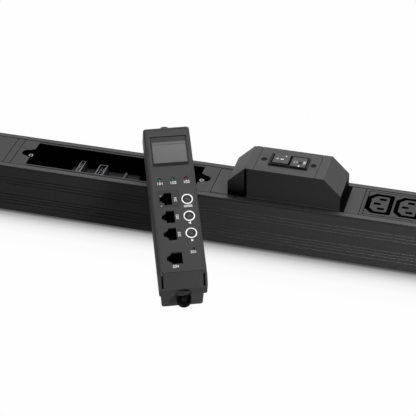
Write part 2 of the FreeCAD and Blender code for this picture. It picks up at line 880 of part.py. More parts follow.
# Inlet behind a window in the left cap
mouthY = inletMouthHalf
mouthZ = inletMouthRise
window = box(railLeft - capThick - 1, railLeft + 1, -mouthY, mouthY, inletCentre - mouthZ, inletCentre + mouthZ)
caps["left_end_cap"] = caps["left_end_cap"].cut(window)
flangeX = railLeft + contactGap
outerY = mouthY + inletWall
outerZ = mouthZ + inletWall
inlet = box(flangeX, inletBack, -outerY, outerY, inletCentre - outerZ, inletCentre + outerZ)
flange = box(flangeX, flangeX + inletFlangeThick, -inletFlangeHalf, inletFlangeHalf,
             inletCentre - inletFlangeRise, inletCentre + inletFlangeRise)
inlet = joined([inlet, flange])
inlet = inlet.cut(box(flangeX - 1, railLeft + inletRecess, -mouthY, mouthY, inletCentre - mouthZ, inletCentre + mouthZ))
blades = []
for y, z in ((-bladeSpread, -bladeRise), (bladeSpread, -bladeRise), (0.0, bladeRise)):
    x0 = railLeft + inletRecess - bladeLength
    blades.append(box(x0, inletBack + bladeTail, y - bladeWide / 2, y + bladeWide / 2,
                      inletCentre + z - bladeThick / 2, inletCentre + z + bladeThick / 2))
for side in (-1, 1):
    y = side * inletScrewSpread
    cone = turned(Part.makeCone(screwBore, headRadius + 0.1, headHeight, FreeCAD.Vector(0, 0, -headHeight)),
                  (-1, 0, 0), (railLeft - capThick, y, inletCentre))
    hole = rod((railLeft - capThick - 1, y, inletCentre), (1, 0, 0), screwBore, capThick + inletFlangeThick + 3)
    caps["left_end_cap"] = cutAll(caps["left_end_cap"], (cone, hole))
    inlet = inlet.cut(hole)
    screw = crossScrew(headRadius, headHeight, screwShank, inletScrewLength, True)
    screws.append(turned(screw, (-1, 0, 0), (railLeft - capThick + 0.05, y, inletCentre)))
parts["left_end_cap"] = caps["left_end_cap"]
parts["right_end_cap"] = caps["right_end_cap"]
parts["end_cap_screws"] = Part.makeCompound(screws)
parts["inlet_body"] = cutAll(inlet, blades)
parts["inlet_blades"] = Part.makeCompound(blades)

# Control module: front shell
rise = math.radians(leanRise)
yaw = math.radians(leanYaw)


def shellBlock(inset, open_):
    side = [(-slopeRun, -flangeDepth), (topEnd, -flangeDepth), (faceLength, 0.0), (0.0, 0.0), (-slopeRun, -slopeDrop)]
    side = insetPolygon(side, (-open_, inset, inset, inset, inset))
    across = [(-flangeHalf, -flangeDepth), (flangeHalf, -flangeDepth), (faceHalf, 0.0), (-faceHalf, 0.0)]
    across = insetPolygon(across, (-open_, inset, inset, inset))
    lengthwise = prism([(-flangeHalf - 2, y, z) for y, z in side], (2 * flangeHalf + 4, 0, 0))
    crosswise = prism([(x, -slopeRun - 2, z) for x, z in across], (0, topEnd + slopeRun + 4, 0))
    return lengthwise.common(crosswise)


outer = shellBlock(0.0, 0.0)
outer = filleted(outer, shellCorner,
                 lambda m, d: abs(d.x) < 2.5 and abs(m.x) > faceHalf - 0.5 and abs(d.z) > 5 and m.y > faceLength / 2)
outer = filleted(outer, shellFootCorner,
                 lambda m, d: abs(d.x) < 2.5 and abs(m.x) > faceHalf - 0.5 and abs(d.z) > 5 and abs(d.y) < 0.1)
outer = filleted(outer, shellEdge,
                 lambda m, d: m.z > -0.01 and (abs(d.y) > 40 or m.y > faceLength / 2))
shell = outer.cut(shellBlock(shellWall, 1.0))
displayX0 = featureShift - displayHalf
displayX1 = featureShift + displayHalf
holes = [box(displayX0, displayX1, displayLow, displayHigh, -shellWall - 1, 1)]
for i in (-1, 0, 1):
    holes.append(rod((featureShift + i * lightPitch, lightRow, -shellWall - 1), (0, 0, 1), lightBore, shellWall + 2))
keyRows = [networkJack - keyBelowJack - i * keyPitch for i in range(3)]
for y in keyRows:
    holes.append(rod((keyAcross, y, -shellWall - 1), (0, 0, 1), keyBore, shellWall + 2))
    groove = rod((keyAcross, y, -ringThick), (0, 0, 1), ringOuter + ringFit, ringThick + 1)
    holes.append(groove.cut(rod((keyAcross, y, -ringThick - 1), (0, 0, 1), ringInner - ringFit, ringThick + 3)))
holes.append(rod((resetAcross, resetRise, -shellWall - 1), (0, 0, 1), resetBore, shellWall + 2))


def jackMouth(right, centre, height, width, z0, z1):
    """Mouth of a jack: the plug's width and the two steps of its latch."""
    solids = [box(right - width, right, centre - height / 2, centre + height / 2, z0, z1)]
    edge = right - width
    for h, w in zip(stepHeights, stepWidths):
        solids.append(box(edge - w, edge + 0.5, centre - h / 2, centre + h / 2, z0, z1))
        edge -= w
    return joined(solids)


jacks = [
    ("network_jack", networkRight, networkJack, jackHeight, networkWidth, contactCount),
    ("serial_jack", jackRight, serialJack, jackHeight, jackWidth, contactCount),
    ("link_jack", jackRight, linkJack, jackHeight, jackWidth, contactCount),
    ("sensor_jack", sensorRight, sensorJack, sensorHeight, sensorWidth, sensorContacts),
]
holes.append(box(collarLeft, collarRight, networkJack - collarHalf, networkJack + collarHalf, -shellWall - 1, 1))
for name, right, centre, height, width, count in jacks[1:]:
    holes.append(jackMouth(right, centre, height, width, -shellWall - 1, 1))

# Thin grooves beside the slope, and pockets over the ears
cheekEnd = -slopeRun + cheekStop
for side in (-1, 1):
    x0, x1 = sorted((side * (faceHalf - cheekInset), side * (faceHalf - cheekInset - cheekGroove)))
    wedge = [(-faceLineFoot, 1.0), (-faceLineFoot, -faceLineFoot - cheekDepth)]
    wedge += [(cheekEnd, -slopeDrop - cheekDepth), (cheekEnd, -slopeDrop + 3)]
    holes.append(prism([(x0, y, z) for y, z in wedge], (x1 - x0, 0, 0)))


def facePanel(inset, z0, z1):
    half = faceHalf - faceLineInset - inset
    panel = box(-half, half, faceLineFoot + inset, faceLength - faceLineInset - inset, z0, z1)
    return filleted(panel, faceLineCorner - inset, lambda m, d: abs(d.z) > (z1 - z0) / 2)


holes.append(facePanel(0.0, -faceLineDepth, 1).cut(facePanel(faceLineWidth, -faceLineDepth - 1, 2)))
pocketLow = -flangeDepth - 1
pocketTop = -flangeDepth + earRim - earBottom + pocketRise
for end, high in ((-slopeRun, -slopeDrop - 0.4), (topEnd, -flangeDepth + pocketHigh)):
    y0, y1 = end - 3.0, end + 3.0
    points = [(-pocketHalf, pocketLow), (pocketHalf, pocketLow), (pocketHalf, pocketTop)]
    points += [(pocketPeak, high), (-pocketPeak, high), (-pocketHalf, pocketTop)]
    holes.append(prism([(x, y0, z) for x, z in points], (0, y1 - y0, 0)))
parts["module_front"] = cutAll(shell, holes)

# Control module: rear tub with the flange plate and the two ears
tubTop = -flangeDepth - contactGap
plateEdge = shellWall + rimFit
tub = box(-tubHalf, tubHalf, tubY0, tubY1, -moduleLow, tubTop)
tub = filleted(tub, tubCorner, lambda m, d: abs(d.z) > 5)


def rimPlate(z0, z1):
    plateBox = box(-flangeHalf + plateEdge, flangeHalf - plateEdge, -slopeRun + plateEdge, topEnd - plateEdge, z0, z1)
    return filleted(plateBox, 1.0, lambda m, d: abs(d.z) > (z1 - z0) / 2)


rimUpper = rimPlate(-flangeDepth + contactGap, -flangeDepth + rimThick)
keep = box(-tubHalf, tubHalf, tubY0, tubY1, -moduleLow, -flangeDepth + rimThick / 2)
rimLower = rimPlate(-flangeDepth - rimOverlap, -flangeDepth + rimThick / 2).common(keep)
moduleCentre = (tubY0 + tubY1) / 2
bayCentre = (bayX + bayEnd) / 2


def alongModule(x):
    """Place up the module of what lies at x in the bay when it is fitted."""
    return moduleCentre - (x - bayCentre)


recessY0 = alongModule(carrierEnd) - recessMargin
recessY1 = alongModule(carrierX) + recessMargin
recessHalf = carrierHalf + recessPlay
recess = box(-recessHalf, recessHalf, recessY0, recessY1, -moduleLow - 1, -moduleLow + recessDepth)
cavityDeep = box(-tubHalf + tubWall, tubHalf - tubWall, tubY0 + tubWall, tubY1 - tubWall,
                 -moduleLow + tubWall, -flangeDepth + rimThick + 1)
bump = box(-tubHalf, tubHalf, recessY0 - tubWall, recessY1 + tubWall, -moduleLow, -moduleLow + recessDepth + tubWall)
cavityDeep = cavityDeep.cut(bump)
solidTub = joined([tub, rimLower, rimUpper])
earPieces = []
earHollows = []
for end, sign in ((tubY0, -1), (tubY1, 1)):
    centre = end + sign * earReach
    low = -flangeDepth - earBottom
    high = low + earRim
    inside = end - sign * 2.0
    y0, y1 = sorted((inside, centre))
    earPieces.append(box(-earRadius, earRadius, y0, y1, low, high))
    earPieces.append(rod((0, centre, low), (0, 0, 1), earRadius, earRim))
    hollow = earRadius - earRimWall
    y0, y1 = sorted((end + sign * 0.4, centre))
    earHollows.append(box(-hollow, hollow, y0, y1, low + earFloor, high + 1))
    earHollows.append(rod((0, centre, low + earFloor), (0, 0, 1), hollow, earRim))
    earHollows.append(rod((0, centre, low - 1), (0, 0, 1), screwBore, earRim))
body = joined([solidTub] + earPieces)
body = cutAll(body, [recess, cavityDeep] + earHollows)
fixtures = []
for sign, end in ((-1, tubY0), (1, tubY1)):
    inside = end - sign * (tubWall - 0.2)
    back = end - sign * (tubWall + linerReach)
    top = -slopeDrop - linerLower if sign < 0 else -flangeDepth + pocketHigh + 0.6
    liner = pocketHalf + linerThick + 0.2
    y0, y1 = sorted((inside, back - sign * linerThick))
    foot = box(-liner, liner, y0, y1, -flangeDepth - 2.0, -flangeDepth + rimThick)
    y0, y1 = sorted((inside - sign * 0.9, back - sign * linerThick))
    shroudBox = foot.fuse(box(-liner, liner, y0, y1, -flangeDepth - 2.0, top))
    y0, y1 = sorted((inside + sign * 1.0, back))
    fixtures.append(shroudBox.cut(box(-pocketHalf - 0.2, pocketHalf + 0.2, y0, y1, -flangeDepth - 1.0, top + 1)))
boardLow = -boardTop - boardThick
for y in (tubY0 + postInset, tubY1 - postInset):
    for side in (-1, 1):
        fixtures.append(rod((side * postAcross, y, -moduleLow + 1), (0, 0, 1), postRadius,
                            moduleLow - 1 + boardLow - contactGap))
body = joined([body] + fixtures)

# Board, plugs on its rear and the windows they show through
plugs = []
for name, centreX, width, halfY in (
    ("module_power_plug", powerX, powerWidth, powerHalf),
    ("module_signal_plug", signalX, signalWidth, signalHalf),
):
    y = alongModule(centreX)
    reach = width / 2 - shroudWall - plugPlay / 2
    across = halfY - shroudWall - plugPlay
    plug = box(-across, across, y - reach, y + reach, boardLow - contactGap - plugReach, boardLow - contactGap)
    parts[name] = plug
    body = body.cut(box(-halfY - plugPlay, halfY + plugPlay, y - width / 2 - plugPlay, y + width / 2 + plugPlay,
                        -moduleLow, -moduleLow + recessDepth + tubWall + 1))
dividerY = alongModule(dividerX + dividerThick / 2)
slotHalf = dividerThick / 2 + sleeve
body = body.cut(box(wallY - sleeve, wallY + dividerReach + sleeve, dividerY - slotHalf, dividerY + slotHalf,
                    -moduleLow, -moduleLow + recessDepth + tubWall + 1))
parts["module_rear"] = body
boardY0 = tubY0 + boardInset
boardY1 = tubY1 - boardInset
parts["circuit_board"] = box(-boardHalf, boardHalf, boardY0, boardY1, boardLow, -boardTop)

# Captive screws in the ears
captives = []
for end, sign in ((tubY0, -1), (tubY1, 1)):
    centre = end + sign * earReach
    seat = -flangeDepth - earBottom + earFloor
    screw = crossScrew(captiveHead, captiveHeadHeight, captiveShank, captiveLength, False)
    captives.append(moved(screw, 0, centre, seat + captiveHeadHeight + contactGap))
parts["captive_screws"] = Part.makeCompound(captives)

# Display: dark frame behind the face, glass in its window, panel behind
frameTop = -displayDrop
frameX0 = displayX0 + displaySideGap
frameX1 = displayX1 - displaySideGap
frameBody = box(frameX0, frameX1, displayLow + displayGap, displayHigh - displayGap,
                frameTop - frameThick, frameTop)
behind = -shellWall - contactGap
frameBack = box(frameX0, frameX1, displayLow - displayFlange, displayHigh + displayFlange,
                frameTop - frameThick, behind)
displayFrame = joined([frameBody, frameBack])
glassX0 = featureShift - glassHalf
glassX1 = featureShift + glassHalf
displayFrame = displayFrame.cut(box(glassX0 - glassGap, glassX1 + glassGap, glassLow - glassGap,
                                    glassHigh + glassGap, frameTop - frameThick - 1, frameTop + 1))
parts["display_frame"] = displayFrame
glassLowZ = frameTop - frameThick
parts["display_glass"] = box(glassX0, glassX1, glassLow, glassHigh, glassLowZ, frameTop - 0.05)
panelTop = glassLowZ - contactGap
parts["display_panel"] = box(displayX0, displayX1, displayLow, displayHigh, panelTop - panelDepth, panelTop)
spacers = []
for y in (displayLow + 3, displayHigh - 3):
    for side in (-1, 1):
        length = panelTop - panelDepth - contactGap + boardTop - contactGap
        spacers.append(rod((featureShift + side * (displayHalf - 3), y, -boardTop + contactGap), (0, 0, 1), 1.8, length))
parts["panel_spacers"] = Part.makeCompound(spacers)


# Indicators: clear light guides that stand on the board
def lightGuide(x):
    low = -boardTop + contactGap
    foot = rod((x, lightRow, low), (0, 0, 1), lightFoot, lightFootHeight)
    stem = rod((x, lightRow, low), (0, 0, 1), lightRadius, -lightDrop - low)
    return filleted(joined([foot, stem]), 0.4, lambda m, d: m.z > -lightDrop - 0.01)


parts["green_light_guides"] = Part.makeCompound([lightGuide(featureShift - lightPitch), lightGuide(featureShift)])
parts["red_light_guide"] = lightGuide(featureShift + lightPitch)

# Keys, their white rings and the switches under them
rings = []
switches = []
switchTop = -boardTop + switchHeight
plungerTop = switchTop + plungerHeight


def keySwitch(x, y):
    low = -boardTop + contactGap
    square = box(x - switchSide / 2, x + switchSide / 2, y - switchSide / 2, y + switchSide / 2, low, switchTop)
    return joined([square, rod((x, y, switchTop - 0.5), (0, 0, 1), plungerRadius, plungerHeight + 0.5)])


for name, y in zip(("menu_key", "up_key", "down_key"), keyRows):
    ring = rod((keyAcross, y, -ringThick + ringFit), (0, 0, 1), ringOuter, ringThick)
    rings.append(ring.cut(rod((keyAcross, y, -ringThick - 1), (0, 0, 1), ringInner, ringThick + 3)))
    switches.append(keySwitch(keyAcross, y))
    collarTop = -shellWall - keyLift
    cap = rod((keyAcross, y, collarTop - keyCollarThick), (0, 0, 1), keyRadius, keyCollarThick - collarTop - keyDrop)
    cap = filleted(cap, keyEdge, lambda m, d: m.z > -keyDrop - 0.01)
    collar = rod((keyAcross, y, collarTop - keyCollarThick), (0, 0, 1), keyCollar, keyCollarThick)
    stemLow = plungerTop + keyTravel + contactGap
    stem = rod((keyAcross, y, stemLow), (0, 0, 1), keyStem, collarTop - keyCollarThick - stemLow + 0.2)
    parts[name] = joined([cap, collar, stem])
switches.append(keySwitch(resetAcross, resetRise))
parts["key_rings"] = Part.makeCompound(rings)
parts["key_switches"] = Part.makeCompound(switches)

# Jacks standing on the board behind the face
contacts = []
for name, right, centre, height, width, count in jacks:
    left = right - width - sum(stepWidths)
    low = -boardTop + contactGap
    body = box(left - jackWall, right + jackWall, centre - height / 2 - jackWall, centre + height / 2 + jackWall,
               low, -shellWall - contactGap)
    if name == "network_jack":
        collar = box(collarLeft + collarFit, collarRight - collarFit, centre - collarHalf + collarFit,
                     centre + collarHalf - collarFit, -shellWall - collarThick, -0.05)
        body = joined([body, collar])
    mouth = jackMouth(right, centre, height, width, -jackDepth, 1)
    body = body.cut(mouth)
    for i in range(count):
        y = centre + (i - (count - 1) / 2) * contactPitch
        floor = -jackDepth
        points = [(right - 0.3, floor - 1.0), (right - 0.3 - contactThick, floor - 1.0)]
        points += [(right - 3.2, floor + contactRise), (right - 3.2 + contactThick, floor + contactRise)]
        wire = prism([(x, y - contactWidth / 2, z) for x, z in points], (0, contactWidth, 0))
        contacts.append(wire)
        body = body.cut(wire)
    parts[name] = body
parts["jack_contacts"] = Part.makeCompound(contacts)

# Place the module: its lower rear edge on the floor, its rear right edge on the rail
across = FreeCAD.Vector(math.cos(yaw), math.sin(yaw), 0)
up = FreeCAD.Vector(-math.sin(yaw) * math.cos(rise), math.cos(yaw) * math.cos(rise), math.sin(rise))
out = across.cross(up)
touch = FreeCAD.Vector(bayEnd - leanInset, -railHalfWidth + railEdge, railHeight + leanGap)
corner = touch - up * ((railHeight + leanGap) / math.sin(rise))
origin = corner - across * tubHalf - up * tubY0 + out * moduleLow
matrix = FreeCAD.Matrix(
    across.x, up.x, out.x, origin.x,
    across.y, up.y, out.y, origin.y,
    across.z, up.z, out.z, origin.z,
    0, 0, 0, 1,
)
modulePieces = (
    "module_front", "module_rear", "circuit_board", "module_power_plug", "module_signal_plug",
    "captive_screws", "display_frame", "display_glass", "display_panel", "panel_spacers",
    "green_light_guides", "red_light_guide", "key_rings", "key_switches", "menu_key", "up_key",
    "down_key", "network_jack", "serial_jack", "link_jack", "sensor_jack", "jack_contacts",
)
for name in modulePieces:
    placed = parts[name].copy()
    placed.Placement = FreeCAD.Placement(matrix)
    parts[name] = placed

os.makedirs("parts", exist_ok=True)
for name, shape in parts.items():
    shape.exportStep("parts/" + name + ".step")
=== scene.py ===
import json
import math
import bpy
from mathutils import Matrix, Vector


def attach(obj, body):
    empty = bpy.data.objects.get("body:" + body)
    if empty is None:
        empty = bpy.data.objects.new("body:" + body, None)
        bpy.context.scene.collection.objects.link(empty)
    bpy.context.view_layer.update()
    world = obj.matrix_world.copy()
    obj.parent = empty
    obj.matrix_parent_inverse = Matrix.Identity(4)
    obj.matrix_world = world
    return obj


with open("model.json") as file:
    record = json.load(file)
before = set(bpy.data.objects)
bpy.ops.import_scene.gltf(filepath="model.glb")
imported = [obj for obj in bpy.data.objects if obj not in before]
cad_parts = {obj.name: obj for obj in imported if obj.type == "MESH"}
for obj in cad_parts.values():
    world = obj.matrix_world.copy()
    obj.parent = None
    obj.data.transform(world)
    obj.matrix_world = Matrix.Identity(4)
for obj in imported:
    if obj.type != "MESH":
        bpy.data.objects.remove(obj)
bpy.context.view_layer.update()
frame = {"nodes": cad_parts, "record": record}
print("stage: frame loaded")

mm = 0.001

# The control module leans on the rail: its turn, the corner it is measured from and its own axes
module = {
    "yaw": math.radians(22.7),
    "rise": math.radians(26.95),
    "origin": Vector((-26.615, -127.366, 41.027)),  # mm
    "faceShift": 0.7,  # display and keys sit this far right of its middle
}
across = Vector((math.cos(module["yaw"]), math.sin(module["yaw"]), 0))
up = Vector((-math.sin(module["yaw"]) * math.cos(module["rise"]),
             math.cos(module["yaw"]) * math.cos(module["rise"]),
             math.sin(module["rise"])))
out = across.cross(up)
faceTurn = Matrix((across, up, out)).transposed()


# A point on the module's face, from millimetres right of, above and proud of its foot
def onFace(x, y, z=0.0):
    return (module["origin"] + across * (x + module["faceShift"]) + up * y + out * z) * mm


def deselect():
    bpy.ops.object.select_all(action="DESELECT")


def newMaterial(name):
    material = bpy.data.materials.new(name)
    material.use_nodes = True
    return material, material.node_tree, material.node_tree.nodes["Principled BSDF"]


def feed(tree, socket, source):  # a socket is linked, anything else is typed in
    if isinstance(source, bpy.types.NodeSocket):
        tree.links.new(source, socket)
    else:
        socket.default_value = source


def calc(tree, operation, *sources, clamp=False):
    node = tree.nodes.new("ShaderNodeMath")
    node.operation = operation
    node.use_clamp = clamp
    for socket, source in zip(node.inputs, sources):
        feed(tree, socket, source)
    return node.outputs["Value"]


def vectorCalc(tree, operation, *sources):
    node = tree.nodes.new("ShaderNodeVectorMath")
    node.operation = operation
    for socket, source in zip(node.inputs, sources):
        feed(tree, socket, source)
    return node.outputs["Value" if operation in ("LENGTH", "DOT_PRODUCT") else "Vector"]


def remap(tree, source, span, result):
    node = tree.nodes.new("ShaderNodeMapRange")
    for name, value in zip(("From Min", "From Max", "To Min", "To Max"), (*span, *result)):
        node.inputs[name].default_value = value
    tree.links.new(source, node.inputs["Value"])
    return node.outputs["Result"]


def greyRamp(tree, source, stops):  # stops are places and grey levels
    node = tree.nodes.new("ShaderNodeValToRGB")
    for element, (place, grey) in zip(node.color_ramp.elements, (stops[0], stops[-1])):
        element.position = place
        element.color = (grey, grey, grey, 1)
    for place, grey in stops[1:-1]:
        node.color_ramp.elements.new(place).color = (grey, grey, grey, 1)
    tree.links.new(source, node.inputs["Fac"])
    return node.outputs["Color"]


def objectPlace(tree):
    return tree.nodes.new("ShaderNodeTexCoord").outputs["Object"]


def splitPlace(tree, place):
    node = tree.nodes.new("ShaderNodeSeparateXYZ")
    tree.links.new(place, node.inputs["Vector"])
    return node.outputs["X"], node.outputs["Y"], node.outputs["Z"]


def joinPlace(tree, x, y, z):
    node = tree.nodes.new("ShaderNodeCombineXYZ")
    for name, source in (("X", x), ("Y", y), ("Z", z)):
        tree.links.new(source, node.inputs[name])
    return node.outputs["Vector"]


# A box in which a finish is darker or lighter, mostly painted shade or painted light: two corners, tone and
# soft edge, in metres.
# Its axes: "rail", "mirrored" (the rail's, both sides alike), "outlets" (so too, and repeated
# for each outlet) or "module"
def toneBox(low, high, tone, soft=(0.0001, 0.0001, 0.0001), axes="mirrored"):
    return {"low": low, "high": high, "tone": tone, "soft": soft, "axes": axes}


outletRow = {"start": 0.0985, "pitch": 0.024, "stop": 0.29}


# The box's painted tone inside it, and 1 outside
def boxTone(tree, place, box):
    if box["axes"] == "module":
        turned = tree.nodes.new("ShaderNodeMapping")
        turned.inputs["Location"].default_value = faceTurn.transposed() @ module["origin"] * -mm
        turned.inputs["Rotation"].default_value = faceTurn.transposed().to_euler()
        tree.links.new(place, turned.inputs["Vector"])
        place = turned.outputs["Vector"]
    elif box["axes"] != "rail":
        x, y, z = splitPlace(tree, place)
        if box["axes"] == "outlets":
            x = calc(tree, "MINIMUM", x, outletRow["stop"])
            x = calc(tree, "WRAP", x, outletRow["start"] + outletRow["pitch"], outletRow["start"])
        place = joinPlace(tree, x, calc(tree, "ABSOLUTE", y), z)
    inside = vectorCalc(tree, "MINIMUM",
                        vectorCalc(tree, "SUBTRACT", place, box["low"]),
                        vectorCalc(tree, "SUBTRACT", box["high"], place))
    x, y, z = splitPlace(tree, vectorCalc(tree, "DIVIDE", inside, box["soft"]))
    depth = calc(tree, "MINIMUM", calc(tree, "MINIMUM", x, y), z)
    return remap(tree, depth, (-1, 1), (1, box["tone"]))


# Finish with a fine grain that breaks up its colour, and boxes of painted shade or painted light
def grainedFinish(name, look):
    material, tree, shader = newMaterial(name)
    place = objectPlace(tree)
    noise = tree.nodes.new("ShaderNodeTexNoise")
    noise.inputs["Scale"].default_value = look["grain"]
    noise.inputs["Detail"].default_value = 3
    tree.links.new(place, noise.inputs["Vector"])
    strength = remap(tree, noise.outputs["Fac"], (0, 1), (1 - look["mottle"], 1 + look["mottle"]))
    shine = look.get("shine", 0.5)
    shader.inputs["Specular IOR Level"].default_value = shine
    if "boxes" in look:
        for box in look["boxes"]:
            strength = calc(tree, "MULTIPLY", strength, boxTone(tree, place, box))
        tree.links.new(calc(tree, "MULTIPLY", strength, shine, clamp=True),  # painted shade dulls the shine too, painted light raises it
                       shader.inputs["Specular IOR Level"])
    tree.links.new(vectorCalc(tree, "MULTIPLY", look["colour"], strength), shader.inputs["Base Color"])
    bump = tree.nodes.new("ShaderNodeBump")
    bump.inputs["Strength"].default_value = look["bump"]
    bump.inputs["Distance"].default_value = 0.1 * mm
    tree.links.new(noise.outputs["Fac"], bump.inputs["Height"])
    tree.links.new(bump.outputs["Normal"], shader.inputs["Normal"])
    shader.inputs["Roughness"].default_value = look["rough"]
    shader.inputs["Metallic"].default_value = look.get("metal", 0.0)
    return material


# Smoked display glass: grey, lighter upwards, with a thin dark line near its head
def glassFinish(name, look):
    material, tree, shader = newMaterial(name)
    height = vectorCalc(tree, "DOT_PRODUCT", objectPlace(tree), up)
    level = calc(tree, "SUBTRACT", height, onFace(0, 0).dot(up))
    share = remap(tree, level, (look["low"], look["high"]), (0, 1))
    tree.links.new(greyRamp(tree, share, look["stops"]), shader.inputs["Base Color"])
    shader.inputs["Roughness"].default_value = look["rough"]
    return material


# Metres from the rail's middle that take in all of it
pastEnds = 0.31
pastSides = 1

# Rail: painted shade in its channel and along its lips' edges, painted light in its side grooves and on its
# lips
# painted shade: the channel inside the rail darkened almost to black
channelPaintedShade = toneBox((-pastEnds, -pastSides, 0.0014), (pastEnds, 0.0245, 0.0452), 0.02,
                     soft=(0.0002, 0.0002, 0.0002))
# painted light: the side grooves lighter, more so towards the right end
groovePaintedLight = toneBox((-0.02, 0.0250, 0.008), (0.6, 0.0259, 0.041), 2.8,
                   soft=(0.15, 0.00005, 0.00005))
# painted light: the tops of the lips lighter
lipPaintedLight = toneBox((-pastEnds, 0.0208, 0.0468), (pastEnds, 0.0252, 0.05), 1.2)
# painted shade along the lips' outer edges
edgePaintedShade = toneBox((-pastEnds, 0.0252, 0.0458), (pastEnds, 0.0265, 0.05), 0.6)
# painted shade along the back lip's edge
backEdgePaintedShade = toneBox((-pastEnds, 0.0243, 0.0458), (pastEnds, 0.0265, 0.05), 0.05, axes="rail")

# Plates between the lips: painted shade below their faces, along the lips and at each seam
# painted shade: the plates darkened below their faces
platePaintedShade = toneBox((-pastEnds, -pastSides, 0), (pastEnds, 0.03, 0.0468), 0.02)
# painted shade on the plates' edges along the lips
rimPaintedShade = toneBox((-pastEnds, 0.0197, 0.04), (pastEnds, 0.0203, 0.05), 0.1)
plates = ("left_cover", "divider_strip", "bay_frame", "breaker_housing", "middle_cover")
plateEnds = [max(corner[0] for corner in frame["nodes"][plate].bound_box) for plate in plates]
seamWidth = 0.5 * mm
# painted shade at each seam between the plates
seamPaintedShades = [toneBox((end, -pastSides, 0.04), (end + seamWidth, pastSides, 0.05), 0.05)
             for end in plateEnds]

# Hump over the breaker: its left end darker, more so towards its foot; painted shade in the groove by that
# end, on its front and back faces, on its right end wall, below the let-in plate and on the rocker's step
humpEndBox = toneBox((-0.05, 0.0183, 0.02), (-0.0027, 0.0190, 0.0585), 0.05,
                     soft=(0.0003, 0.0003, 0.0085))
# painted shade in the groove between the hump's left end and its middle
humpGroovePaintedShade = toneBox((-0.0046, 0.0170, 0.0478), (-0.0025, 0.0190, 0.074), 0.02)
# painted shade: the hump's front and back faces darker than its top
humpFacePaintedShade = toneBox((-0.1, 0.0183, 0.0478), (0.1, 0.0190, 0.09), 0.6,
                      soft=(0.0001, 0.0003, 0.0001))
# painted shade on the hump's right end wall
humpWallPaintedShade = toneBox((0.0779, -pastSides, 0.02), (0.0815, pastSides, 0.0607), 0.04)
insertPaintedShade = toneBox((0.0022, -pastSides, 0.05), (0.0565, 0.0184, 0.07545), 0.02)  # painted shade below the let-in plate
rockerStepPaintedShade = toneBox((0.0300, -pastSides, 0.07), (0.0312, pastSides, 0.09), 0.04)  # painted shade on the step between its two halves

# Painted shade in the outlet slots, painted light on the connector rims
# painted shade inside the outlet slots
sideSlotPaintedShade = toneBox((0.1072, 0.0054, 0.04), (0.1131, 0.0086, 0.05), 0.03, axes="outlets")
middleSlotPaintedShade = toneBox((0.1032, -pastSides, 0.04), (0.1091, 0.0016, 0.05), 0.03, axes="outlets")
# painted light: the connector headers' tops lighter
headerPaintedLight = toneBox((-0.3, -pastSides, 0.0374), (0.3, pastSides, 0.05), 2.6)

# Control module: painted light on its slope, painted shade in its ear, on the display frame's lower bar and
# inside its jacks
# painted light: the module's end slope lighter than its face
slopePaintedLight = toneBox((-0.1, -0.1, -0.1), (0.1, -0.0002, 0.1), 1.85, axes="module")
# painted shade in the ear at the module's foot
earPaintedShade = toneBox((-0.0064, -0.03, -0.1), (0.0064, -0.0100, -0.018), 0.12, axes="module")
# painted shade on the display frame's lower bar
displayBarPaintedShade = toneBox((-0.1, 0.05, -0.1), (0.1, 0.1027, 0.1), 0.4, axes="module")
# painted shade inside the jacks, below the face
jackPaintedShade = toneBox((-0.1, -0.1, -0.1), (0.1, 0.2, -0.0008), 0.1, axes="module")

